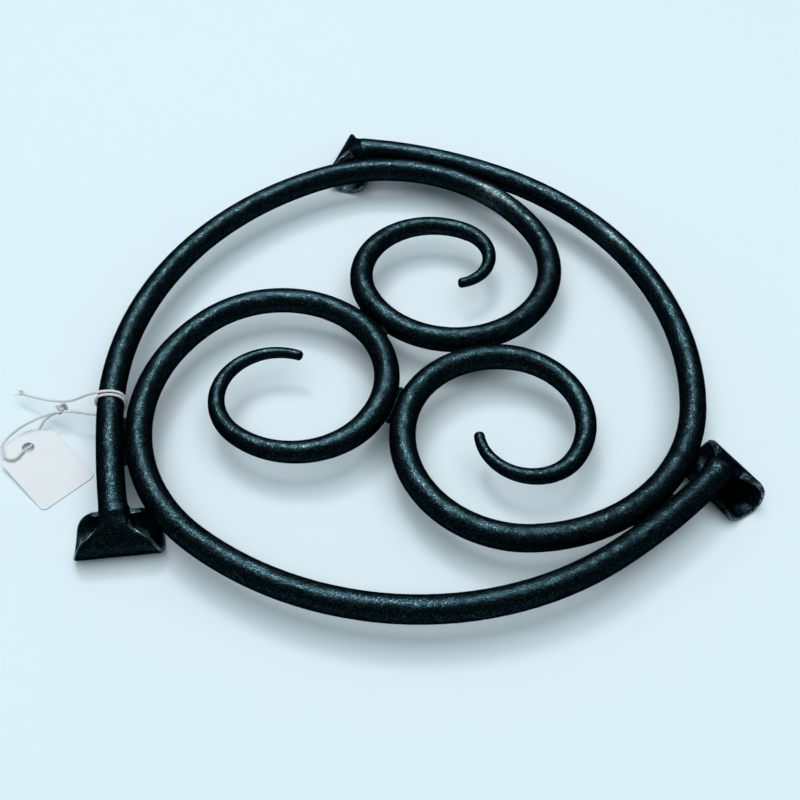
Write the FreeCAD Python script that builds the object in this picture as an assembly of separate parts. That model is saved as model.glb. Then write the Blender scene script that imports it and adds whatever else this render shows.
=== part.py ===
import FreeCAD, Part
import math
import os
from collections import namedtuple

V = FreeCAD.Vector
os.makedirs("parts", exist_ok=True)

# ---------------------------------------------------------------- driving sizes, mm and degrees
BAR_DIA = 9.5            # 3/8 in round wrought bar
WELD_GAP = 0.3           # gap between two neighbouring bars, filled by the weld
COUNT = 3                # scrolls
STEP = 360.0 / COUNT

# plan of every scroll: radius of the middle line, turn
RING_R = 36.0            # the part of the scroll that meets its two neighbours
RING_BEARING = 193.8     # where the ring centre lies, seen from the trivet centre
RING_FROM = -32.0        # polar angles of the ring arc about its own centre
RING_TO = 48.0
OUT1_R = 41.0            # first arc outwards from the ring
TIP_DIA = 3.8            # blunt end of the drawn-out taper
MID_DIA = 6.9            # where the tip arc meets the inner arc
TIP_ROUND = 1.3

# each scroll is bent by hand, so the other arcs differ a little from bar to bar;
# out2 is the part that the tail of the bar before lies against
Bar = namedtuple("Bar", (
    "tip_r", "tip_turn", "inner_r", "inner_turn", "out1_turn", "out2_r", "out2_turn",
    "rim_r", "tail_r", "tail_turn", "foot_yaw"))
BARS = {
    "left": Bar(21.3, 162.9, 32.2, 96.3, 88.2, 63.2, 98.0, 117.6, 241.8, 13.0, -11.3),
    "right": Bar(18.1, 142.4, 28.9, 123.6, 107.0, 66.4, 77.3, 116.6, 162.7, 23.2, -14.3),
    "back": Bar(15.6, 141.9, 29.1, 144.2, 98.6, 66.3, 90.8, 124.3, 398.9, 6.1, -6.7),
}

# forged foot: the bar end is drawn to a fishtail, bent over and rolled under.
# the roll is an oval, measured to the middle of the sheet
ROLL_HIGH = 6.0          # half height
ROLL_FRONT = 6.8         # reach beyond its middle, away from the bar
ROLL_BACK = 8.5          # reach back under the bar
ROLL_START = 2.0         # its middle lies this far beyond the end of the round bar
ROLL_DROP = 0.6          # the sheet leaves the bar this far below the bar's middle
SOLE_HALF = 1.0          # half thickness of the sheet at the sole
SOLE_DRESS = 0.2         # metal dressed off the underside of the roll
# along the roll: angle, half width, half thickness, edge turn (45 round bar, 90 flat sheet)
FAN = (
    (10.0, 5.9, 2.8, 60.0),
    (28.0, 8.2, 1.8, 72.0),
    (52.0, 11.5, 1.15, 80.0),
    (90.0, 13.8, 1.0, 84.0),
    (130.0, 14.8, 1.0, 86.0),
    (180.0, 14.9, SOLE_HALF, 86.0),
    (215.0, 14.5, 1.0, 86.0),
    (245.0, 13.4, 0.95, 86.0),
    (262.0, 11.6, 0.9, 86.0),
    (275.0, 8.8, 0.85, 86.0),
)
# from round bar to sheet: distance beyond the bar's end, extra width, lost thickness, edge turn
NECK = (
    (-5.0, -0.5, 0.5, 45.0),
    (-0.3, 0.3, 0.5, 50.0),
)
# middle of the bar above the table
BAR_Z = 2.0 * ROLL_HIGH + SOLE_HALF - SOLE_DRESS + ROLL_DROP

# weld beads: half length along the seam, radius, drop of the middle
CENTRE_WELD = (8.0, 3.4, 0.6)
RIM_WELD = (10.0, 3.1, 0.4)

# strung paper tag beside the left-front foot
TAG_LONG = 31.5
TAG_WIDE = 21.5
TAG_THICK = 0.5
TAG_CLIP_LONG = 6.5
TAG_CLIP_WIDE = 6.0
TAG_HOLE_DIA = 4.4
TAG_HOLE_AT = 25.2
TAG_CORNER = (-111.2, -50.0)
TAG_TURN = 136.5
TAG_TILT = 4.0
STRING_DIA = 1.0
BEND_FILL = 0.45         # share of the shorter run that a bend takes
WRAP_BACK = 49.3         # the string goes round the bar this far before its foot
WRAP_PITCH = 0.4         # advance along the bar at each quarter turn
KNOT_DIA = 4.6
# places beside the wraps: away from the bar, along the bar, above the bar's middle
KNOT_AT = (19.0, -3.2, -6.4)
KNOT_IN = (19.0, -4.0, -5.7)
KNOT_OUT = (19.0, -2.5, -6.0)
KNOT_END = (18.4, -2.8, -7.3)
LOOSE_END = (35.6, -13.5, -8.9)
# free run of the string from the knot through the tag and back, in the plan frame
STRING_OUT = (
    (-135.7, -30.6, 6.2),
    (-142.6, -35.1, 4.6),
    (-146.1, -41.1, 3.8),
    (-143.5, -46.2, 3.2),
    (-139.7, -46.6, 3.05),
    (-137.7, -42.2, 3.2),
    (-135.9, -39.3, 1.1),
    (-135.6, -33.0, 1.3),
    (-132.5, -26.6, 4.2),
)


def polar(radius, angle, z=0.0):
    a = math.radians(angle)
    return V(radius * math.cos(a), radius * math.sin(a), z)


# ---------------------------------------------------------------- plan of the scrolls
RING_CENTRE_R = (2.0 * RING_R + BAR_DIA + WELD_GAP) / math.sqrt(3.0)


def turned(i, point):
    """The same place on the scroll i steps round."""
    return FreeCAD.Rotation(V(0, 0, 1), STEP * i).multVec(point)


def outer_centres(bar):
    """Centres of the arcs from the ring outwards to the rim."""
    centre = {"ring": polar(RING_CENTRE_R, RING_BEARING)}
    centre["out1"] = centre["ring"] + polar(RING_R - OUT1_R, RING_TO)
    out1_to = RING_TO + bar.out1_turn
    centre["out2"] = centre["out1"] + polar(OUT1_R - bar.out2_r, out1_to)
    centre["rim"] = centre["out2"] + polar(bar.out2_r - bar.rim_r, out1_to + bar.out2_turn)
    return centre


def rim_turn(bar, nxt):
    """Turn of the rim arc that lays the tail against the next scroll, one weld gap away."""
    w = outer_centres(bar)["rim"] - turned(1, outer_centres(nxt)["out2"])
    k = bar.rim_r - bar.tail_r
    m = bar.tail_r - nxt.out2_r - BAR_DIA - WELD_GAP
    dot = (m * m - w.dot(w) - k * k) / (2.0 * k)
    base = math.degrees(math.atan2(w.y, w.x))
    spread = math.degrees(math.acos(dot / w.Length))
    start = RING_TO + bar.out1_turn + bar.out2_turn
    turns = [(base + s * spread - start) % 360.0 for s in (1, -1)]
    return min(turns)


def scroll_plan(bar, nxt):
    """Arcs of one scroll from tip to tail: name, centre, radius, from, to."""
    centre = outer_centres(bar)
    centre["inner"] = centre["ring"] + polar(RING_R - bar.inner_r, RING_FROM)
    inner_from = RING_FROM - bar.inner_turn
    centre["tip"] = centre["inner"] + polar(bar.inner_r - bar.tip_r, inner_from)
    out1_to = RING_TO + bar.out1_turn
    out2_to = out1_to + bar.out2_turn
    rim_to = out2_to + rim_turn(bar, nxt)
    centre["tail"] = centre["rim"] + polar(bar.rim_r - bar.tail_r, rim_to)
    rows = (
        ("tip", bar.tip_r, inner_from - bar.tip_turn, inner_from),
        ("inner", bar.inner_r, inner_from, RING_FROM),
        ("ring", RING_R, RING_FROM, RING_TO),
        ("out1", OUT1_R, RING_TO, out1_to),
        ("out2", bar.out2_r, out1_to, out2_to),
        ("rim", bar.rim_r, out2_to, rim_to),
        ("tail", bar.tail_r, rim_to, rim_to + bar.tail_turn),
    )
    return [(n, centre[n], r, a, b) for n, r, a, b in rows]


def at(arc, angle):
    return arc[1] + polar(arc[2], angle, BAR_Z)


def arc_edge(arc):
    circle = Part.Circle(arc[1] + V(0, 0, BAR_Z), V(0, 0, 1), arc[2])
    return Part.ArcOfCircle(circle, math.radians(arc[3]), math.radians(arc[4])).toShape()


def round_section(arc, angle, dia):
    """Circle square to the bar where the arc has this polar angle."""
    along = polar(1.0, angle + 90.0)
    return Part.Wire([Part.makeCircle(dia / 2.0, at(arc, angle), along)])


# ---------------------------------------------------------------- one scroll bar
def tapered_arc(arc, dia_from, dia_to):
    """Round section that grows evenly along one arc."""
    sections = [round_section(arc, arc[3], dia_from), round_section(arc, arc[4], dia_to)]
    sweep = Part.BRepOffsetAPI.MakePipeShell(Part.Wire([arc_edge(arc)]))
    for section in sections:
        sweep.add(section)
    sweep.build()
    sweep.makeSolid()
    return sweep.shape()


def tapered_scroll(plan):
    """Drawn-out tip and inner arc; the blunt end is rounded over."""
    tip, inner = plan[0], plan[1]
    point = tapered_arc(tip, TIP_DIA, MID_DIA)
    end = at(tip, tip[3])
    near = [e for e in point.Edges if (e.CenterOfMass - end).Length < TIP_DIA / 2.0]
    point = point.makeFillet(TIP_ROUND, near)
    return point.fuse(tapered_arc(inner, MID_DIA, BAR_DIA))


def plain_bar(plan):
    """Full round bar, one ring piece per arc."""
    pieces = []
    for arc in plan[2:]:
        disc = Part.Face(round_section(arc, arc[3], BAR_DIA))
        pieces.append(disc.revolve(arc[1], V(0, 0, 1), arc[4] - arc[3]))
    return pieces


def fan_section(origin, across, up, half_wide, half_thick, edge_turn):
    """Two crowned faces and two round edges, as one wire of four arcs."""
    a = math.radians(edge_turn)
    x = half_wide - half_thick + half_thick * math.cos(a)
    y = half_thick * math.sin(a)

    def place(u, v):
        return origin + across * u + up * v

    right = Part.Arc(place(x, -y), place(half_wide, 0), place(x, y))
    top = Part.Arc(place(x, y), place(0, half_thick), place(-x, y))
    left = Part.Arc(place(-x, y), place(-half_wide, 0), place(-x, -y))
    under = Part.Arc(place(-x, -y), place(0, -half_thick), place(x, -y))
    return Part.Wire([arc.toShape() for arc in (right, top, left, under)])


def rolled_foot(plan, yaw):
    """Fishtail foot: flattened, flared, bent down and rolled back under the bar."""
    tail = plan[-1]
    end = at(tail, tail[4])
    out = polar(1.0, tail[4] + 90.0 + yaw)
    across = polar(1.0, tail[4] + yaw)
    z = V(0, 0, 1)
    half = BAR_DIA / 2.0
    sections = []
    for beyond, wider, thinner, edge_turn in NECK:
        place = end + out * beyond
        sections.append(fan_section(place, across, z, half + wider, half - thinner, edge_turn))
    middle = end + out * ROLL_START - z * (ROLL_DROP + ROLL_HIGH)
    for angle, wide, thick, edge_turn in FAN:
        a = math.radians(angle)
        reach = ROLL_FRONT if angle < 180.0 else ROLL_BACK
        place = middle + out * reach * math.sin(a) + z * ROLL_HIGH * math.cos(a)
        up = (out * (math.sin(a) / reach) + z * (math.cos(a) / ROLL_HIGH)).normalize()
        sections.append(fan_section(place, across, up, wide, thick, edge_turn))
    foot = Part.makeLoft(sections, True, False)
    below = foot.BoundBox
    corner = V(below.XMin, below.YMin, -ROLL_HIGH)
    return foot.cut(Part.makeBox(below.XLength, below.YLength, ROLL_HIGH, corner))


def scroll_bar(plan, yaw):
    whole = tapered_scroll(plan)
    whole = whole.fuse(plain_bar(plan) + [rolled_foot(plan, yaw)])
    return whole.removeSplitter()


# ---------------------------------------------------------------- welds
def bead(middle, along, size):
    """Weld bead: a round run of metal laid along the groove between two bars."""
    half_length, radius, drop = size
    start = middle - along * half_length - V(0, 0, drop)
    return Part.makeCylinder(radius, 2.0 * half_length, start, along)


def joint_frame(low, high):
    """Middle of the gap between two round bars, and the seam's direction."""
    line = high - low
    return (low + high) * 0.5, V(-line.y, line.x, 0).normalize()


def centre_seam(ring, nxt):
    line = (nxt - ring).normalize() * (BAR_DIA / 2.0)
    middle = (ring + nxt) * 0.5
    return joint_frame(middle - line, middle + line)


def rim_seam(tail, tail_r, out2, out2_r):
    line = (out2 - tail).normalize()
    return joint_frame(tail + line * tail_r, out2 + line * out2_r)


# ---------------------------------------------------------------- tag and string
def tag_frame():
    """Placement of the tag: base edge on the table, hole end tipped up."""
    turn = FreeCAD.Rotation(V(0, 0, 1), TAG_TURN)
    tilt = FreeCAD.Rotation(V(0, 1, 0), -TAG_TILT)
    return FreeCAD.Placement(V(TAG_CORNER[0], TAG_CORNER[1], 0), turn.multiply(tilt))


def price_tag():
    """Blank card, clipped at the hole end."""
    long_clip = TAG_LONG - TAG_CLIP_LONG
    pts = [
        V(0, 0, 0), V(long_clip, 0, 0), V(TAG_LONG, TAG_CLIP_WIDE, 0),
        V(TAG_LONG, TAG_WIDE - TAG_CLIP_WIDE, 0), V(long_clip, TAG_WIDE, 0), V(0, TAG_WIDE, 0),
    ]
    card = Part.Face(Part.makePolygon(pts + pts[:1])).extrude(V(0, 0, TAG_THICK))
    hole_at = V(TAG_HOLE_AT, TAG_WIDE / 2.0, -TAG_THICK)
    card = card.cut(Part.makeCylinder(TAG_HOLE_DIA / 2.0, 3.0 * TAG_THICK, hole_at))
    card.Placement = tag_frame()
    return card


def along_bar(plan, back):
    """Place on the bar this far before its end, and its bearing from the arc's centre."""
    for arc in reversed(plan):
        length = math.radians(arc[4] - arc[3]) * arc[2]
        if back <= length:
            break
        back -= length
    angle = arc[4] - math.degrees(back / arc[2])
    return at(arc, angle), angle


def string_points(plan, bearing):
    """Route of the string: loose end, knot, twice round the bar, knot, tag and back."""
    middle, angle = along_bar(plan, WRAP_BACK)
    spin = FreeCAD.Rotation(V(0, 0, 1), bearing)
    middle = spin.multVec(middle)
    out = spin.multVec(polar(1.0, angle))
    along = spin.multVec(polar(1.0, angle + 90.0))

    def local(e, a, h):
        return middle + out * e + along * a + V(0, 0, h)

    half = (BAR_DIA + STRING_DIA) / 2.0
    corners = ((1, 1), (-1, 1), (-1, -1), (1, -1))
    wraps = []
    for i in range(2 * len(corners)):
        side, level = corners[i % len(corners)]
        wraps.append(local(side * half, WRAP_PITCH * (i - 3), level * half))
    free = [V(*p) for p in STRING_OUT]
    pts = [local(*LOOSE_END), local(*KNOT_IN)] + wraps
    return pts + [local(*KNOT_OUT)] + free + [local(*KNOT_END)], local(*KNOT_AT)


def string_tube(pts):
    """Straight runs joined by tangent bends, with a round section."""
    runs = [(b - a).Length for a, b in zip(pts, pts[1:])]
    disc = Part.Face(Part.Wire([Part.makeCircle(STRING_DIA / 2.0, pts[0], pts[1] - pts[0])]))
    pieces, bends, here, length = [], [], pts[0], 0.0
    for i in range(1, len(pts) - 1):
        a = (pts[i] - pts[i - 1]).normalize()
        b = (pts[i + 1] - pts[i]).normalize()
        turn = a.getAngle(b)
        cut = BEND_FILL * min(runs[i - 1], runs[i])
        radius = cut / math.tan(turn / 2.0)
        run = pts[i] - a * cut - here
        pieces.append(disc.extrude(run))
        disc.translate(run)
        axis = a.cross(b).normalize()
        centre = pts[i] - a * cut + axis.cross(a) * radius
        pieces.append(disc.revolve(centre, axis, math.degrees(turn)))
        disc.rotate(centre, axis, math.degrees(turn))
        here = pts[i] + b * cut
        length += run.Length + radius * turn
        bends.append((round(radius, 1), round(math.degrees(turn))))
    run = pts[-1] - here
    pieces.append(disc.extrude(run))
    length += run.Length
    tube = pieces[0].fuse(pieces[1:])
    ideal = length * math.pi * STRING_DIA ** 2 / 4.0
    print("string bends (radius, turn):", bends)
    print("string length %.1f, volume %.2f of %.2f, lowest %.2f" % (
        length, tube.Volume, ideal, tube.BoundBox.ZMin))
    return tube


def knot(middle, tube):
    """Small overhand knot, drawn as one bead that the string runs through."""
    return Part.makeSphere(KNOT_DIA / 2.0, middle).cut(tube)


def save(name, shape):
    solids = shape.Solids
    solid = solids[0] if len(solids) == 1 else Part.makeCompound(solids)
    print("%-16s solids %d valid %s volume %.1f faces %d" % (
        name, len(solids), shape.isValid(), shape.Volume, len(shape.Faces)))
    solid.exportStep("parts/%s.step" % name)


def build():
    names = list(BARS)
    rows = list(BARS.values())
    plans = [scroll_plan(row, rows[(i + 1) % COUNT]) for i, row in enumerate(rows)]
    nodes = {}
    for i, plan in enumerate(plans):
        bar = scroll_bar(plan, rows[i].foot_yaw)
        bar.rotate(V(0, 0, 0), V(0, 0, 1), STEP * i)
        nodes["scroll_" + names[i]] = bar
    bars = list(nodes.values())
    centres = [{arc[0]: turned(i, arc[1]) for arc in plan} for i, plan in enumerate(plans)]
    lift = V(0, 0, BAR_Z)
    for i, row in enumerate(rows):
        j = (i + 1) % COUNT
        pair = [bars[i], bars[j]]
        middle, along = centre_seam(centres[i]["ring"], centres[j]["ring"])
        nodes["weld_centre_" + names[i]] = bead(middle + lift, along, CENTRE_WELD).cut(pair)
        middle, along = rim_seam(centres[i]["tail"], row.tail_r, centres[j]["out2"], rows[j].out2_r)
        nodes["weld_rim_" + names[i]] = bead(middle + lift, along, RIM_WELD).cut(pair)
    nodes["price_tag"] = price_tag()
    pts, knot_at = string_points(plans[-1], STEP * (COUNT - 1))
    nodes["tag_string"] = string_tube(pts)
    nodes["string_knot"] = knot(knot_at, nodes["tag_string"])

    # the origin is the middle of the three scrolls' footprint
    box = Part.makeCompound(bars).optimalBoundingBox(True, False)
    shift = V(-box.Center.x, -box.Center.y, 0)
    print("shift", shift, "size", box)
    for name, shape in nodes.items():
        shape.translate(shift)
        save(name, shape)
    print("string points", [tuple(round(c, 2) for c in p + shift) for p in pts])
    return nodes


if __name__ == "__main__":
    build()
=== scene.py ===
import math

import bmesh
import bpy
from mathutils import Matrix, Vector, noise


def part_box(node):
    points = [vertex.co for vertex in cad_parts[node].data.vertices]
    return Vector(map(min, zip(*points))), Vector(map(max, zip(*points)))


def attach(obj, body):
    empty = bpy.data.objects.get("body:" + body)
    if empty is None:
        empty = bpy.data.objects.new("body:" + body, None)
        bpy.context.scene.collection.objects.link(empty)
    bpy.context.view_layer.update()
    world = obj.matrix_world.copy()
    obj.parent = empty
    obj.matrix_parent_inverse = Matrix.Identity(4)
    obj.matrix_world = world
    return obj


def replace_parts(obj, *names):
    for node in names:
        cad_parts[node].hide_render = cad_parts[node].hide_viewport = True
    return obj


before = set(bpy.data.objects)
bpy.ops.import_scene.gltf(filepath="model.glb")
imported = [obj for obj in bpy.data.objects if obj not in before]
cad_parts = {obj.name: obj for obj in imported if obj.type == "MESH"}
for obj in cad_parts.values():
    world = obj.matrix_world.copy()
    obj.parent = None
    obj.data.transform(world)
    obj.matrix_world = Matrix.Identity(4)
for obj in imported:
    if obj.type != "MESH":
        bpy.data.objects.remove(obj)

bl_info = {
    "name": "Scroll trivet dressing",
    "version": (1, 0, 0),
    "blender": (4, 5, 0),
    "location": "View3D > Sidebar > Trivet",
    "description": "Finishes for a forged trivet of three scroll bars with a strung price tag",
    "category": "Object",
}

# sizes and places are in metres
BODY = "root"
SCROLLS = ("scroll_left", "scroll_right", "scroll_back")
CENTRE_WELDS = ("weld_centre_left", "weld_centre_right", "weld_centre_back")
RIM_WELDS = ("weld_rim_left", "weld_rim_right", "weld_rim_back")

# points of a solid's mesh nearer to each other than this are one; a shorter length is no length
MERGE_DIST = 2e-6
TINY = 1e-6

# bars: their thickness and the height of their middle line
BAR_DIA = 0.0095
BAR_Z = 0.0134

# feet, measured from the middle of the sole
FOOT_REACH = 0.024                       # no point of a foot lies further off than this
SOLE_BAND = 0.0001                       # points as low as this belong to the sole
NECK_FROM, NECK_TO = -0.0095, -0.0005    # along the foot
NECK_WIDE = 0.0075                       # to each side
NECK_PASSES = 5
FAN_FROM = 0.55 * BAR_DIA                # the fishtail starts this far to each side
ROLL_FROM = -0.001                       # the roll starts here along the foot
ROLL_MIDDLE_Z = 0.0064

# bare iron: how squarely a surface looks sideways where wear begins, and where it is full
WORN_FROM, WORN_FULL = 0.45, 0.95

# burr lines: one point for each step round the roll, in degrees from its top
BURR_RADIUS = 0.00016
BURR_FROM, BURR_TO, BURR_STEP = 12.0, 168.0, 12.0
BURR_HOLLOW = 0.004      # points nearer to the middle of the roll are its inside
BURR_OUTWARD = 0.6       # weight of the distance from the roll's middle beside that to the side

# price tag: a corner of its base edge, turn and tilt in degrees
TAG_LONG, TAG_WIDE, TAG_THICK = 0.0315, 0.0215, 0.0005
TAG_CLIP = (0.0065, 0.0060)
TAG_HOLE_AT, TAG_HOLE_DIA = 0.0252, 0.0044
TAG_CORNER = (-0.1164285, -0.0628603)
TAG_TURN, TAG_TILT = 136.5, 4.0
CORNER_STEPS, HOLE_STEPS = 8, 40

# weld beads: rounding at the ends, waves along the bead and lumps all over it
BEAD_DOME = 0.94
WAVE_LENGTH, WAVE_WANDER, WAVE_GRAIN, WAVE_SHARE = 0.0011, 2.0, 300.0, 0.6
LUMP_GRAIN, LUMP_SHARE = 620.0, 0.8

# weld spatter: distance along the seam, lean from the top of the bar in degrees, side
SEAM_TO_BAR = 0.0049
DROP_RADIUS, DROP_GROWTH = 0.0003, 0.00008
SPATTER = ((0.009, -20.0, 1.0), (-0.010, 15.0, -1.0), (0.006, -35.0, -1.0), (-0.005, -28.0, 1.0))

# rubbed places on the bars: middle, reach, amount
SCUFFS = (
    ((0.0262, 0.0745, 0.0180), 0.0075, 0.50),
    ((0.0700, 0.0500, 0.0180), 0.0045, 0.40),
)

# overhand knot: thickness of its strand in string diameters, rise of its crossings
KNOT_STRAND, KNOT_RISE, KNOT_STEPS = 0.6, 1.6, 36

# frayed end: turn from one fibre to the next in radians, how far the fibres spread and reach, and
# their root and middle as the distance back from the cut end with the share of the spread there
FIBRE_TURN, FIBRE_SHARE = 2.4, 0.618
FIBRE_SPREAD, FIBRE_MORE = 0.0006, 0.0014
FIBRE_FLAT, FIBRE_THICK = 0.6, 0.11
FIBRE_ROOT, FIBRE_MIDDLE = (0.003, 0.15), (0.0012, 0.45)
FIBRE_LONGEST, FIBRE_BACK = 0.0012, 0.0002

# the string: its route, loose end first
STRING_ROUTE = (
    (-0.14992, -0.03067, 0.00450), (-0.13233, -0.03819, 0.00770),
    (-0.11835, -0.03938, 0.01865), (-0.10787, -0.03856, 0.01865),
    (-0.10782, -0.03896, 0.00815), (-0.11821, -0.04057, 0.00815),
    (-0.11816, -0.04097, 0.01865), (-0.10768, -0.04015, 0.01865),
    (-0.10764, -0.04055, 0.00815), (-0.11802, -0.04216, 0.00815),
    (-0.13215, -0.03968, 0.00740), (-0.14093, -0.04346, 0.00620),
    (-0.14783, -0.04796, 0.00460), (-0.15133, -0.05396, 0.00380),
    (-0.14873, -0.05906, 0.00320), (-0.14493, -0.05946, 0.00305),
    (-0.14293, -0.05506, 0.00320), (-0.14113, -0.05216, 0.00110),
    (-0.14083, -0.04586, 0.00130), (-0.13773, -0.03946, 0.00420),
    (-0.13159, -0.03931, 0.00610),
)

# stage: lamps with their place, size, power setting and the rays that miss them
FLOOR_HALF = 3.0
LAMPS = (
    ("window_lamp", (-0.45, 1.1, 2.1), 0.6, "window_power", "visible_glossy"),
    ("ceiling_lamp", (0.0, -0.1, 1.8), 2.6, "ceiling_power", "visible_glossy"),
    ("glint_lamp", (-0.12, 0.75, 1.7), 0.5, "glint_power", "visible_diffuse"),
)
LAMP_COLOUR = (1.0, 0.985, 0.975)
AMBIENT_COLOUR = (0.72, 0.95, 1.0)

# camera: it looks down by the tilt and leans by the roll, both in radians
CAMERA_AT = (-0.00998, -0.27861, 0.32658)
CAMERA_TILT, CAMERA_ROLL = 0.90651, 0.04202
CAMERA_LENS, CAMERA_SENSOR = 49.661, 36.0


# ------------------------------------------------------------------ what a user would change
class TrivetIron(bpy.types.PropertyGroup):
    scale_colour: bpy.props.FloatVectorProperty(
        name="Scale colour", description="Black oxide left by the forge",
        subtype="COLOR", size=3, min=0, max=1, default=(0.0020, 0.0060, 0.0078))
    sheen_colour: bpy.props.FloatVectorProperty(
        name="Sheen colour", description="Where the oxide is rubbed through to the iron",
        subtype="COLOR", size=3, min=0, max=1, default=(0.036, 0.064, 0.075))
    edge_colour: bpy.props.FloatVectorProperty(
        name="Edge colour", description="Bare iron at the worn edges of the feet",
        subtype="COLOR", size=3, min=0, max=1, default=(0.26, 0.37, 0.40))
    rim_colour: bpy.props.FloatVectorProperty(
        name="Grazing colour", description="Tint of the oxide where it is seen at a low angle",
        subtype="COLOR", size=3, min=0, max=1, default=(0.12, 0.26, 0.31))
    grain: bpy.props.FloatProperty(
        name="Grain", description="Size of the forge grain",
        subtype="DISTANCE", unit="LENGTH", min=0.0002, max=0.01, default=0.00055)
    ripple: bpy.props.FloatProperty(
        name="Weld ripple", description="Depth of the waves along a weld bead",
        subtype="DISTANCE", unit="LENGTH", min=0, max=0.001, default=0.0004)


class TrivetTag(bpy.types.PropertyGroup):
    card_colour: bpy.props.FloatVectorProperty(
        name="Card colour", description="Colour of the blank card",
        subtype="COLOR", size=3, min=0, max=1, default=(0.65, 0.70, 0.74))
    string_colour: bpy.props.FloatVectorProperty(
        name="String colour", description="Colour of the cotton string",
        subtype="COLOR", size=3, min=0, max=1, default=(0.74, 0.77, 0.78))
    string_dia: bpy.props.FloatProperty(
        name="String diameter", description="Thickness of the cotton string",
        subtype="DISTANCE", unit="LENGTH", min=0.0004, max=0.002, default=0.001)
    corner: bpy.props.FloatProperty(
        name="Card corner", description="Radius of the card's rounded corners",
        subtype="DISTANCE", unit="LENGTH", min=0.0002, max=0.005, default=0.002)
    fibres: bpy.props.IntProperty(
        name="Fibres", description="Loose fibres at the frayed end", min=0, max=40, default=11)


class TrivetStage(bpy.types.PropertyGroup):
    floor_colour: bpy.props.FloatVectorProperty(
        name="Floor colour", description="Pale paper that the trivet stands on",
        subtype="COLOR", size=3, min=0, max=1, default=(0.72, 0.84, 0.91))
    wall_colour: bpy.props.FloatVectorProperty(
        name="Wall colour", description="Pale wall beyond the floor",
        subtype="COLOR", size=3, min=0, max=1, default=(0.70, 0.84, 0.92))
    window_power: bpy.props.FloatProperty(
        name="Window lamp", description="Power of the lamp that casts the soft shadows",
        subtype="POWER", unit="POWER", min=0, max=500, default=10.5)
    ceiling_power: bpy.props.FloatProperty(
        name="Ceiling lamp", description="Power of the wide soft lamp overhead",
        subtype="POWER", unit="POWER", min=0, max=500, default=36.8)
    glint_power: bpy.props.FloatProperty(
        name="Glint lamp", description="Power of the lamp that only the iron's sheen shows",
        subtype="POWER", unit="POWER", min=0, max=500, default=100.0)
    ambient: bpy.props.FloatProperty(
        name="Ambient", description="Strength of the pale light from all round",
        min=0, max=2, default=0.24)


# ------------------------------------------------------------------ helpers
def show(obj):
    """Puts a new object into the scene."""
    bpy.context.scene.collection.objects.link(obj)
    return obj


def mesh_piece(name, bm, material, smooth_below=None):
    """A new piece from a bmesh; edges that fold more than the angle, in degrees, stay crisp."""
    if smooth_below is not None:
        for face in bm.faces:
            face.smooth = True
        limit = math.radians(smooth_below)
        for edge in bm.edges:
            edge.smooth = len(edge.link_faces) == 2 and edge.calc_face_angle(0.0) < limit
    mesh = bpy.data.meshes.new(name)
    bm.to_mesh(mesh)
    bm.free()
    obj = show(bpy.data.objects.new(name, mesh))
    mesh.materials.append(material)
    return obj


def strand(name, paths, radius, material, resolution=4, roundness=3):
    """Round strands, each a smooth line led by its points."""
    curve = bpy.data.curves.new(name, "CURVE")
    curve.dimensions = "3D"
    for path in paths:
        spline = curve.splines.new("NURBS")
        spline.points.add(len(path) - 1)
        for point, place in zip(spline.points, path):
            point.co = (*place, 1.0)
        spline.order_u = 3
        spline.use_endpoint_u = True
        spline.resolution_u = resolution
    curve.bevel_depth = radius
    curve.bevel_resolution = roundness
    curve.use_fill_caps = True
    curve.materials.append(get_material(material))
    return show(bpy.data.objects.new(name, curve))


def merged_copy(node):
    """The solid's own mesh as a bmesh, with its loose triangles joined up."""
    bm = bmesh.new()
    bm.from_mesh(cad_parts[node].data)
    bmesh.ops.remove_doubles(bm, verts=bm.verts, dist=MERGE_DIST)
    return bm


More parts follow.
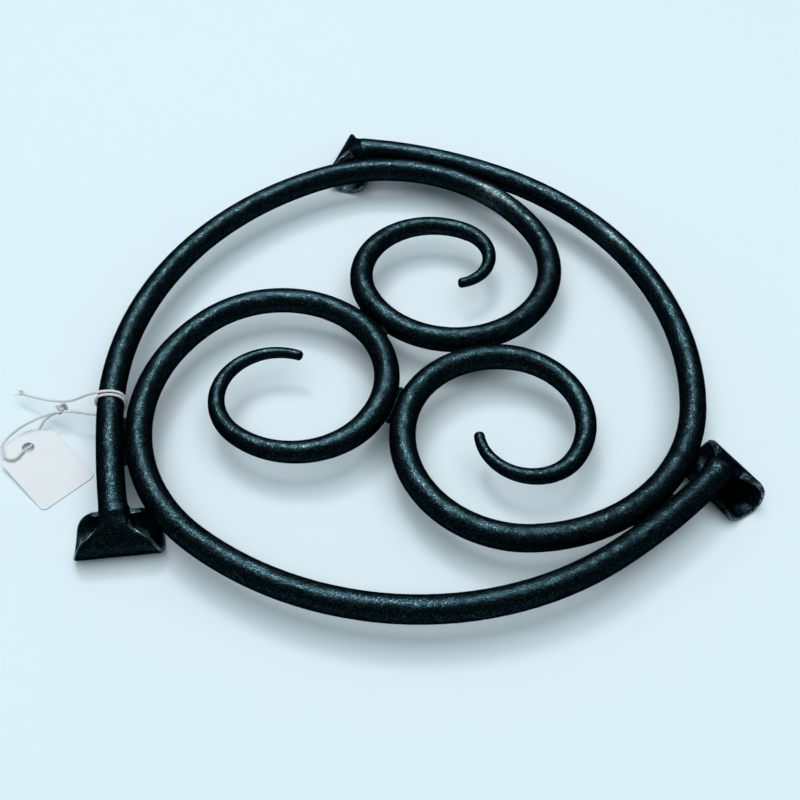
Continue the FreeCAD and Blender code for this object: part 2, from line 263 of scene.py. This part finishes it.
class Nodes:
    """Short calls for building a node tree; x and y are places in the node editor."""

    def __init__(self, tree):
        self.tree = tree

    def add(self, kind, x=0, y=0, **settings):
        node = self.tree.nodes.new(kind)
        node.location = (x, y)
        for key, value in settings.items():
            setattr(node, key, value)
        return node

    def link(self, a, b):
        self.tree.links.new(a, b)

    def math(self, operation, a, b, x=0, y=0, clamp=False):
        node = self.add("ShaderNodeMath", x, y, operation=operation, use_clamp=clamp)
        for socket, value in zip(node.inputs, (a, b)):
            if isinstance(value, (int, float)):
                socket.default_value = value
            else:
                self.link(value, socket)
        return node.outputs[0]

    def ramp(self, fac, stops, x=0, y=0):
        """Grey ramp through (position, value) stops."""
        node = self.add("ShaderNodeValToRGB", x, y)
        ramp = node.color_ramp
        while len(ramp.elements) < len(stops):
            ramp.elements.new(0.5)
        for element, (position, value) in zip(ramp.elements, stops):
            element.position = position
            element.color = (value, value, value, 1.0)
        self.link(fac, node.inputs["Fac"])
        return node.outputs["Color"]

    def mix(self, fac, a, b, x=0, y=0):
        """Mixes two colours, each a socket or a plain colour."""
        node = self.add("ShaderNodeMix", x, y, data_type="RGBA")
        factor, first, second = node.inputs[0], node.inputs[6], node.inputs[7]
        for socket, value in zip((factor, first, second), (fac, a, b)):
            if isinstance(value, bpy.types.NodeSocket):
                self.link(value, socket)
            elif isinstance(value, (int, float)):
                socket.default_value = value
            else:
                socket.default_value = (*value[:3], 1.0)
        return node.outputs[2]

    def noise(self, vector, scale, detail, rough, x=0, y=0):
        """Noise texture; its scale is a number or a socket."""
        node = self.add("ShaderNodeTexNoise", x, y)
        if isinstance(scale, bpy.types.NodeSocket):
            self.link(scale, node.inputs["Scale"])
        else:
            node.inputs["Scale"].default_value = scale
        node.inputs["Detail"].default_value = detail
        node.inputs["Roughness"].default_value = rough
        self.link(vector, node.inputs["Vector"])
        return node.outputs["Fac"]

    def relief(self, height, strength, distance, shader, x=0, y=0):
        """Bump from a height into the shader's normal."""
        node = self.add("ShaderNodeBump", x, y)
        node.inputs["Strength"].default_value = strength
        node.inputs["Distance"].default_value = distance
        self.link(height, node.inputs["Height"])
        self.link(node.outputs["Normal"], shader.inputs["Normal"])


def new_group(name, inputs, outputs):
    """Empty node group with named sockets, and its two end nodes."""
    tree = bpy.data.node_groups.new(name, "ShaderNodeTree")
    for label, kind, value in inputs:
        socket = tree.interface.new_socket(label, in_out="INPUT", socket_type=kind)
        if value is not None:
            socket.default_value = value
    for label, kind in outputs:
        tree.interface.new_socket(label, in_out="OUTPUT", socket_type=kind)
    n = Nodes(tree)
    return n, n.add("NodeGroupInput", -900), n.add("NodeGroupOutput", 700)


def new_material(name):
    """New material, its node tree and its Principled shader."""
    material = bpy.data.materials.new(name)
    material.use_nodes = True
    n = Nodes(material.node_tree)
    shader = next(node for node in n.tree.nodes if node.type == "BSDF_PRINCIPLED")
    return material, n, shader


def use_group(n, tree, x=0, y=0, **values):
    """Places a node group and sets its own values."""
    node = n.add("ShaderNodeGroup", x, y)
    node.node_tree = tree
    for label, value in values.items():
        node.inputs[label].default_value = value
    return node


# ------------------------------------------------------------------ shared effects
def forge_grain():
    """Pitted, grainy oxide over hammer dents: a height, and masks of rubbed grain and broad bloom."""
    n, start, end = new_group(
        "Forge grain",
        (("Vector", "NodeSocketVector", None), ("Grain", "NodeSocketFloat", 0.0011)),
        (("Height", "NodeSocketFloat"), ("Rubbed", "NodeSocketFloat"), ("Bloom", "NodeSocketFloat")))
    vector = start.outputs["Vector"]
    scale = n.math("DIVIDE", 1.0, start.outputs["Grain"], -700, 200)
    fine = n.noise(vector, scale, detail=3.0, rough=0.65, x=-450, y=200)
    coarse_scale = n.math("MULTIPLY", scale, 0.28, -600, -50)
    coarse = n.noise(vector, coarse_scale, detail=2.0, rough=0.5, x=-450, y=-50)
    dent_scale = n.math("MULTIPLY", scale, 0.085, -600, -300)
    dents = n.noise(vector, dent_scale, detail=1.0, rough=0.5, x=-450, y=-300)
    fine_pits = n.math("MULTIPLY", fine, 0.75, -200, 200)
    coarse_pits = n.math("MULTIPLY", coarse, 0.9, -200, 0)
    hammer_dents = n.math("MULTIPLY", dents, 6.0, -200, -200)
    pits = n.math("ADD", fine_pits, coarse_pits, 0, 150)
    n.link(n.math("ADD", pits, hammer_dents, 200, 150), end.inputs["Height"])
    n.link(n.ramp(fine, ((0.52, 0.0), (0.64, 1.0)), 100, 0), end.inputs["Rubbed"])
    n.link(n.ramp(coarse, ((0.3, 0.0), (0.75, 1.0)), 100, -250), end.inputs["Bloom"])
    return n.tree


def paper_dust():
    """Soft uneven greying for the card and the cotton."""
    n, start, end = new_group(
        "Handling dust",
        (("Vector", "NodeSocketVector", None), ("Amount", "NodeSocketFloat", 0.3)),
        (("Mask", "NodeSocketFloat"),))
    patches = n.noise(start.outputs["Vector"], 90.0, detail=4.0, rough=0.6, x=-500)
    spread = n.ramp(patches, ((0.35, 0.0), (0.8, 1.0)), -250)
    n.link(n.math("MULTIPLY", spread, start.outputs["Amount"], 200), end.inputs["Mask"])
    return n.tree


def iron_material(name, grain_tree, iron, roughness, bump, painted_shade=1.0):
    """Black oxide over iron; the worn attribute shows bare metal, the scuff attribute grey rubs; the
    shade factor darkens the oxide and sheen colours as painted shade.
    """
    material, n, shader = new_material(name)
    coords = n.add("ShaderNodeTexCoord", -1300)
    grain = use_group(n, grain_tree, -1000, 0, Grain=iron.grain)
    n.link(coords.outputs["Object"], grain.inputs["Vector"])
    bloom = grain.outputs["Bloom"]

    often = n.math("MULTIPLY", bloom, 0.75, -700, 50)
    flecks = n.math("MULTIPLY", grain.outputs["Rubbed"],
                    n.math("ADD", often, 0.25, -550, 50), -400, 100, clamp=True)
    # painted shade: the oxide and sheen colours are darkened by this factor
    oxide = [c * painted_shade for c in iron.scale_colour]
    sheen = [c * painted_shade for c in iron.sheen_colour]
    colour = n.mix(flecks, oxide, sheen, -200, 250)

    worn = n.add("ShaderNodeAttribute", -1000, -350, attribute_name="worn")
    scuff = n.add("ShaderNodeAttribute", -1000, -500, attribute_name="scuff")
    patchy = n.noise(coords.outputs["Object"], 900.0, detail=4.0, rough=0.7, x=-1000, y=-650)
    edge_patches = n.ramp(patchy, ((0.42, 0.05), (0.58, 1.0)), -750, -650)
    rub_patches = n.ramp(patchy, ((0.40, 0.0), (0.70, 0.5)), -750, -850)
    edge = n.math("MULTIPLY", worn.outputs["Fac"], edge_patches, -450, -400, clamp=True)
    rub = n.math("MULTIPLY", scuff.outputs["Fac"], rub_patches, -450, -600, clamp=True)
    bare = n.math("MAXIMUM", edge, rub, -200, -400)
    n.link(n.mix(bare, colour, iron.edge_colour, 0, 250), shader.inputs["Base Color"])

    shader.inputs["Metallic"].default_value = 1.0
    shader.inputs["Specular Tint"].default_value = (*iron.rim_colour, 1.0)
    smoother = n.math("MULTIPLY", bloom, 0.12, -200, -150)
    gloss = n.math("SUBTRACT", roughness + 0.06, smoother, 0, -150, clamp=True)
    n.link(gloss, shader.inputs["Roughness"])
    n.relief(grain.outputs["Height"], 1.0, bump, shader, 0, -350)
    return material


def edge_material(iron):
    """Thin burr on a sheared edge, rubbed bright in places and black in others."""
    material, n, shader = new_material("rubbed_edge")
    coords = n.add("ShaderNodeTexCoord", -800)
    patchy = n.noise(coords.outputs["Object"], 420.0, detail=3.0, rough=0.7, x=-600)
    mask = n.ramp(patchy, ((0.42, 0.0), (0.58, 1.0)), -400)
    n.link(n.mix(mask, iron.scale_colour, iron.edge_colour, -150), shader.inputs["Base Color"])
    shader.inputs["Metallic"].default_value = 1.0
    shader.inputs["Roughness"].default_value = 0.42
    return material


def card_material(dust_tree, tag):
    """Matt card with faint fibres and a little handling dust."""
    material, n, shader = new_material("tag_card")
    coords = n.add("ShaderNodeTexCoord", -900)
    dust = use_group(n, dust_tree, -600, 100, Amount=0.25)
    n.link(coords.outputs["Object"], dust.inputs["Vector"])
    grey = [c * 0.86 for c in tag.card_colour]
    colour = n.mix(dust.outputs["Mask"], tag.card_colour, grey, -300, 200)
    n.link(colour, shader.inputs["Base Color"])
    shader.inputs["Roughness"].default_value = 0.75
    fibres = n.noise(coords.outputs["Object"], 2600.0, detail=3.0, rough=0.7, x=-600, y=-300)
    n.relief(fibres, 0.25, 0.00004, shader, -250, -300)
    return material


def cotton_material(dust_tree, tag):
    """Twisted cotton: plies in bands along the string, with fuzz over them."""
    material, n, shader = new_material("twisted_cotton")
    coords = n.add("ShaderNodeTexCoord", -1200)
    dust = use_group(n, dust_tree, -900, 250, Amount=0.5)
    n.link(coords.outputs["Object"], dust.inputs["Vector"])
    fuzz = n.noise(coords.outputs["Object"], 5200.0, detail=3.0, rough=0.7, x=-700, y=-450)

    grey = [c * 0.62 for c in tag.string_colour]
    base = n.mix(dust.outputs["Mask"], tag.string_colour, grey, -400, 250)
    fuzz_share = n.math("MULTIPLY", fuzz, 0.35, -400, 0)
    n.link(n.mix(fuzz_share, base, grey, -150, 200), shader.inputs["Base Color"])
    shader.inputs["Roughness"].default_value = 0.9
    shader.inputs["Sheen Weight"].default_value = 0.3

    place = n.add("ShaderNodeMapping", -950, -150)
    place.inputs["Scale"].default_value = (60.0, 2.0, 1.0)
    n.link(coords.outputs["UV"], place.inputs["Vector"])
    plies = n.add("ShaderNodeTexWave", -700, -150, wave_type="BANDS", bands_direction="X")
    plies.inputs["Scale"].default_value = 1.0
    n.link(place.outputs["Vector"], plies.inputs["Vector"])
    fuzz_height = n.math("MULTIPLY", fuzz, 0.5, -450, -350)
    height = n.math("ADD", plies.outputs["Fac"], fuzz_height, -300, -250)
    n.relief(height, 0.7, 0.00018, shader, -150, -250)
    return material


def get_material(name):
    """Makes the whole set of finishes the first time that one is asked for."""
    if name not in bpy.data.materials:
        scene = bpy.context.scene
        grain, dust = forge_grain(), paper_dust()
        iron = scene.trivet_iron
        iron_material("black_oxide_iron", grain, iron, roughness=0.38, bump=0.00012)
        # bead colours darkened to 0.45 as painted shade, so the beads look as black as the shaded gaps
        # between the bars
        iron_material("bead_iron", grain, iron, roughness=0.46, bump=0.00020, painted_shade=0.45)
        edge_material(iron)
        card_material(dust, scene.trivet_tag)
        cotton_material(dust, scene.trivet_tag)
    return bpy.data.materials[name]


# ------------------------------------------------------------------ pieces
def sole_frame(bm):
    """Middle of the face that the foot stands on, and the directions across it and out."""
    sole = [v.co for v in bm.verts if v.co.z < SOLE_BAND]
    middle = sum(sole, Vector()) / len(sole)
    across = long_axis([co - middle for co in sole])
    out = Vector((-across.y, across.x, 0.0))
    top = [v.co for v in bm.verts if (v.co - middle).length < FOOT_REACH and v.co.z > BAR_Z]
    side = sum(((co - middle).dot(out) for co in top), 0.0)
    return middle, across, -out if side > 0 else out


def long_axis(points):
    """Level direction in which the points spread most."""
    xx = sum(p.x * p.x for p in points)
    yy = sum(p.y * p.y for p in points)
    xy = sum(p.x * p.y for p in points)
    angle = 0.5 * math.atan2(2.0 * xy, xx - yy)
    return Vector((math.cos(angle), math.sin(angle), 0.0))


def soften_neck(bm):
    """Evens out the step where the round bar runs into its foot."""
    middle, across, out = sole_frame(bm)
    neck = []
    for v in bm.verts:
        place = v.co - middle
        along_neck = NECK_FROM < place.dot(out) < NECK_TO
        if along_neck and abs(place.dot(across)) < NECK_WIDE and v.co.z > BAR_Z - BAR_DIA / 2.0:
            neck.append(v)
    for _ in range(NECK_PASSES):
        bmesh.ops.smooth_vert(bm, verts=neck, factor=0.5,
                              use_axis_x=True, use_axis_y=True, use_axis_z=True)


def wear(bm):
    """Bare iron along the side edges of the rolled sheet, kept as a value at each vertex."""
    middle, across, out = sole_frame(bm)
    below_neck = BAR_Z - 0.6 * BAR_DIA
    worn = bm.verts.layers.float.new("worn")
    bm.normal_update()
    for v in bm.verts:
        place = v.co - middle
        in_roll = place.dot(out) > ROLL_FROM or v.co.z < below_neck
        if place.length < FOOT_REACH and in_roll and abs(place.dot(across)) > FAN_FROM:
            sideways = abs(v.normal.dot(across))
            v[worn] = max(0.0, min(1.0, (sideways - WORN_FROM) / (WORN_FULL - WORN_FROM)))


def burr_lines(bm):
    """Two lines along the outer side edges of the rolled sheet, from the neck to the sole."""
    middle, across, out = sole_frame(bm)
    centre = middle + Vector((0.0, 0.0, ROLL_MIDDLE_Z))
    lines = []
    for side in (-1.0, 1.0):
        best = {}
        for v in bm.verts:
            place = v.co - centre
            reach = Vector((place.dot(out), place.z))
            lateral = side * place.dot(across)
            if (v.co - middle).length > FOOT_REACH or lateral < FAN_FROM or reach.length < BURR_HOLLOW:
                continue
            angle = math.degrees(math.atan2(reach.x, reach.y))
            if BURR_FROM < angle < BURR_TO:
                key = round(angle / BURR_STEP)
                score = lateral + BURR_OUTWARD * reach.length
                if key not in best or score > best[key][0]:
                    best[key] = (score, v.co.copy())
        lines.append([best[key][1] for key in sorted(best)])
    return lines


def scuff_marks(bm):
    """Grey rubbed places, strongest in their middle."""
    scuff = bm.verts.layers.float.new("scuff")
    for v in bm.verts:
        v[scuff] = sum(amount * math.exp(-((v.co - Vector(place)).length / reach) ** 2)
                       for place, reach, amount in SCUFFS)


class TRIVET_OT_scrolls(bpy.types.Operator):
    """Three forged scroll bars with their rolled feet"""

    bl_idname = "trivet.scrolls"
    bl_label = "Scroll bars"

    def execute(self, context):
        for node in SCROLLS:
            bm = merged_copy(node)
            soften_neck(bm)
            wear(bm)
            scuff_marks(bm)
            lines = burr_lines(bm)
            bar = mesh_piece(node + "_bar", bm, get_material("black_oxide_iron"), smooth_below=40)
            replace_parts(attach(bar, BODY), node)
            burr = strand(node + "_burr", lines, BURR_RADIUS, "rubbed_edge")
            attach(burr, BODY)
        return {"FINISHED"}


class TRIVET_OT_welds(bpy.types.Operator):
    """Six weld beads, domed at the ends, lumpy and rippled"""

    bl_idname = "trivet.welds"
    bl_label = "Weld beads"

    def execute(self, context):
        ripple = context.scene.trivet_iron.ripple
        for node in CENTRE_WELDS + RIM_WELDS:
            bm = merged_copy(node)
            middle, along = self.shape(bm, ripple)
            self.spatter(bm, middle, along)
            bead = mesh_piece(node + "_bead", bm, get_material("bead_iron"), smooth_below=60)
            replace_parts(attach(bead, BODY), node)
        return {"FINISHED"}

    def shape(self, bm, ripple):
        """Draws every point of the bead in towards its middle line."""
        places = [v.co.copy() for v in bm.verts]
        middle = sum(places, Vector()) / len(places)
        along = long_axis([co - middle for co in places])
        middle.z = (min(co.z for co in places) + max(co.z for co in places)) / 2.0
        half = max(abs((co - middle).dot(along)) for co in places)
        for v in bm.verts:
            t = (v.co - middle).dot(along)
            core = middle + along * t
            spoke = v.co - core
            dome = math.sqrt(max(0.0, 1.0 - BEAD_DOME * (t / half) ** 2))
            wander = WAVE_WANDER * noise.noise(v.co * WAVE_GRAIN)
            wave = 0.5 + 0.5 * math.sin(t / WAVE_LENGTH + wander)
            lump = 0.5 + 0.5 * noise.noise(v.co * LUMP_GRAIN)
            radius = spoke.length * dome - ripple * (WAVE_SHARE * wave + LUMP_SHARE * lump)
            if spoke.length > TINY:
                v.co = core + spoke.normalized() * max(0.0, radius)
        return middle, along

    def spatter(self, bm, middle, along):
        """Small drops of weld metal stuck to the two bars beside the bead."""
        beside = Vector((-along.y, along.x, 0.0))
        for drop, (ahead, angle, side) in enumerate(SPATTER):
            lean = math.radians(angle)
            reach = SEAM_TO_BAR + BAR_DIA / 2.0 * math.sin(lean)
            spot = Vector((middle.x, middle.y, BAR_Z)) + along * ahead + beside * side * reach
            spot.z += BAR_DIA / 2.0 * math.cos(lean)
            bmesh.ops.create_icosphere(bm, subdivisions=2, radius=DROP_RADIUS + DROP_GROWTH * drop,
                                       matrix=Matrix.Translation(spot))


class TRIVET_OT_tag(bpy.types.Operator):
    """Blank price tag of white card with softened corners and a punched hole"""

    bl_idname = "trivet.tag"
    bl_label = "Price tag"

    def execute(self, context):
        tag = context.scene.trivet_tag
        bm = bmesh.new()
        rings = [self.outline(tag.corner), self.hole()]
        edges = []
        for ring in rings:
            verts = [bm.verts.new((*xy, 0.0)) for xy in ring]
            edges += [bm.edges.new((a, b)) for a, b in zip(verts, verts[1:] + verts[:1])]
        flat = bmesh.ops.triangle_fill(bm, use_beauty=True, edges=edges)
        faces = [f for f in flat["geom"] if isinstance(f, bmesh.types.BMFace)]
        raised = bmesh.ops.extrude_face_region(bm, geom=faces)
        top = [v for v in raised["geom"] if isinstance(v, bmesh.types.BMVert)]
        bmesh.ops.translate(bm, verts=top, vec=(0.0, 0.0, TAG_THICK))
        bmesh.ops.recalc_face_normals(bm, faces=bm.faces)
        place = Matrix.Translation((*TAG_CORNER, 0.0))
        place = place @ Matrix.Rotation(math.radians(TAG_TURN), 4, "Z")
        place = place @ Matrix.Rotation(math.radians(-TAG_TILT), 4, "Y")
        bm.transform(place)
        card = mesh_piece("price_tag_card", bm, get_material("tag_card"), smooth_below=40)
        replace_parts(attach(card, BODY), "price_tag")
        return {"FINISHED"}

    def outline(self, radius):
        """Card outline with every corner rounded."""
        clip = TAG_LONG - TAG_CLIP[0]
        pts = [Vector(p) for p in (
            (0.0, 0.0), (clip, 0.0), (TAG_LONG, TAG_CLIP[1]),
            (TAG_LONG, TAG_WIDE - TAG_CLIP[1]), (clip, TAG_WIDE), (0.0, TAG_WIDE))]
        ring = []
        for i, corner in enumerate(pts):
            before = (pts[i - 1] - corner).normalized()
            after = (pts[(i + 1) % len(pts)] - corner).normalized()
            half = before.angle(after) / 2.0
            start = corner + before * radius / math.tan(half)
            end = corner + after * radius / math.tan(half)
            centre = corner + (before + after).normalized() * radius / math.sin(half)
            for k in range(CORNER_STEPS + 1):
                arm = (start - centre).lerp(end - centre, k / CORNER_STEPS).normalized()
                ring.append(centre + arm * radius)
        return ring

    def hole(self):
        """Round hole, run the other way round than the outline."""
        ring = []
        for k in range(HOLE_STEPS):
            a = -2.0 * math.pi * k / HOLE_STEPS
            ring.append((TAG_HOLE_AT + TAG_HOLE_DIA / 2.0 * math.cos(a),
                         TAG_WIDE / 2.0 + TAG_HOLE_DIA / 2.0 * math.sin(a)))
        return ring


class TRIVET_OT_string(bpy.types.Operator):
    """Cotton string twice round the bar, knotted, through the tag and back"""

    bl_idname = "trivet.string"
    bl_label = "String"

    def execute(self, context):
        tag = context.scene.trivet_tag
        route = list(reversed(STRING_ROUTE))
        string = self.cotton("string_cotton", [route], tag.string_dia / 2.0,
                             resolution=10, roundness=4)
        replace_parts(string, "tag_string")
        knot = self.knot(tag.string_dia)
        fray = self.fray(route[-1], route[-2], tag)
        return {"FINISHED"}

    def cotton(self, name, paths, radius, resolution=4, roundness=3):
        """Strands of cotton that ride on the trivet."""
        strands = strand(name, paths, radius, "twisted_cotton", resolution, roundness)
        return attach(strands, BODY)

    def knot(self, dia):
        """Overhand knot pulled tight: a trefoil drawn inside the knot's own space."""
        low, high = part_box("string_knot")
        middle = (Vector(low) + Vector(high)) / 2.0
        thick = KNOT_STRAND * dia
        reach = (high[0] - low[0]) / 2.0 - thick
        path = []
        for k in range(KNOT_STEPS + 1):
            a = 2.0 * math.pi * k / KNOT_STEPS
            x = math.sin(a) + 2.0 * math.sin(2.0 * a)
            y = math.cos(a) - 2.0 * math.cos(2.0 * a)
            spot = Vector((x, y, -KNOT_RISE * math.sin(3.0 * a))) * reach / 3.0
            path.append(middle + spot)
        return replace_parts(self.cotton("string_overhand", [path], thick), "string_knot")

    def fray(self, end, before, tag):
        """Loose fibres that spread from the cut end of the string."""
        end, before = Vector(end), Vector(before)
        back = (before - end).normalized()
        side = back.cross(Vector((0.0, 0.0, 1.0))).normalized()
        rise = side.cross(back).normalized()
        paths = []
        for k in range(tag.fibres):
            a = FIBRE_TURN * k
            spread = FIBRE_SPREAD + FIBRE_MORE * ((k * FIBRE_SHARE) % 1.0)
            lean = side * math.cos(a) * spread + rise * math.sin(a) * spread * FIBRE_FLAT
            reach = FIBRE_LONGEST * math.sin(3.0 * k) - FIBRE_BACK
            inner = [end + back * away + lean * share for away, share in (FIBRE_ROOT, FIBRE_MIDDLE)]
            paths.append((*inner, end + back * reach + lean))
        return self.cotton("string_fray", paths, tag.string_dia * FIBRE_THICK)


class TRIVET_OT_stage(bpy.types.Operator):
    """Pale floor, soft light and the camera"""

    bl_idname = "trivet.stage"
    bl_label = "Stage"

    def execute(self, context):
        stage = context.scene.trivet_stage
        bm = bmesh.new()
        bmesh.ops.create_grid(bm, x_segments=1, y_segments=1, size=FLOOR_HALF)
        material, n, shader = new_material("floor")
        shader.inputs["Base Color"].default_value = (*stage.floor_colour, 1.0)
        shader.inputs["Roughness"].default_value = 0.9
        shader.inputs["Specular IOR Level"].default_value = 0.0
        floor = mesh_piece("floor", bm, material)

        context.scene.world = self.world(stage)
        for name, place, size, power, missed_by in LAMPS:
            lamp = self.lamp(name, place, size, getattr(stage, power))
            setattr(lamp, missed_by, False)
        context.scene.view_settings.view_transform = "Standard"
        context.scene.camera = self.camera()
        return {"FINISHED"}

    def world(self, stage):
        """Soft light from all round; the camera itself sees a pale wall."""
        world = bpy.data.worlds.new("studio")
        world.use_nodes = True
        n = Nodes(world.node_tree)
        ambient = n.tree.nodes["Background"]
        ambient.inputs["Color"].default_value = (*AMBIENT_COLOUR, 1.0)
        ambient.inputs["Strength"].default_value = stage.ambient
        wall = n.add("ShaderNodeBackground", 0, -200)
        wall.inputs["Color"].default_value = (*stage.wall_colour, 1.0)
        seen = n.add("ShaderNodeLightPath", -200, 300)
        choose = n.add("ShaderNodeMixShader", 200)
        n.link(seen.outputs["Is Camera Ray"], choose.inputs[0])
        n.link(ambient.outputs[0], choose.inputs[1])
        n.link(wall.outputs[0], choose.inputs[2])
        n.link(choose.outputs[0], n.tree.nodes["World Output"].inputs["Surface"])
        return world

    def lamp(self, name, place, size, power):
        """Square lamp that faces the middle of the floor."""
        light = bpy.data.lights.new(name, "AREA")
        light.size = size
        light.energy = power
        light.color = LAMP_COLOUR
        lamp = show(bpy.data.objects.new(name, light))
        lamp.location = place
        lamp.rotation_euler = Vector(place).to_track_quat("Z", "Y").to_euler()
        return lamp

    def camera(self):
        """Camera that looks down on the trivet from the front, a little off level."""
        forward = Vector((0.0, math.cos(CAMERA_TILT), -math.sin(CAMERA_TILT)))
        up = Vector((0.0, math.sin(CAMERA_TILT), math.cos(CAMERA_TILT)))
        right = Vector((1.0, 0.0, 0.0))
        across = right * math.cos(CAMERA_ROLL) + up * math.sin(CAMERA_ROLL)
        upright = up * math.cos(CAMERA_ROLL) - right * math.sin(CAMERA_ROLL)
        data = bpy.data.cameras.new("camera")
        data.lens = CAMERA_LENS
        data.sensor_width = CAMERA_SENSOR
        data.clip_start = 0.01
        camera = show(bpy.data.objects.new("camera", data))
        turn = Matrix((across, upright, -forward)).transposed().to_4x4()
        camera.matrix_world = Matrix.Translation(CAMERA_AT) @ turn
        return camera


class TRIVET_PT_panel(bpy.types.Panel):
    """Lists the trivet's sizes, colours and pieces"""

    bl_idname = "TRIVET_PT_panel"
    bl_label = "Trivet"
    bl_space_type = "VIEW_3D"
    bl_region_type = "UI"
    bl_category = "Trivet"

    def draw(self, context):
        for group in (context.scene.trivet_iron, context.scene.trivet_tag,
                      context.scene.trivet_stage):
            box = self.layout.box()
            for name in group.__annotations__:
                box.prop(group, name)
        for operator in PIECES:
            self.layout.operator(operator.bl_idname)


PIECES = (TRIVET_OT_scrolls, TRIVET_OT_welds, TRIVET_OT_tag, TRIVET_OT_string, TRIVET_OT_stage)
GROUPS = {"trivet_iron": TrivetIron, "trivet_tag": TrivetTag, "trivet_stage": TrivetStage}
CLASSES = (*GROUPS.values(), *PIECES, TRIVET_PT_panel)


def register():
    for cls in CLASSES:
        bpy.utils.register_class(cls)
    for name, group in GROUPS.items():
        setattr(bpy.types.Scene, name, bpy.props.PointerProperty(type=group))


def unregister():
    for name in GROUPS:
        delattr(bpy.types.Scene, name)
    for cls in reversed(CLASSES):
        bpy.utils.unregister_class(cls)


def main():
    """Makes every piece in order."""
    register()
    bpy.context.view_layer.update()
    bpy.ops.trivet.scrolls()
    bpy.ops.trivet.welds()
    bpy.ops.trivet.tag()
    bpy.ops.trivet.string()
    bpy.ops.trivet.stage()


if __name__ == "__main__":
    main()
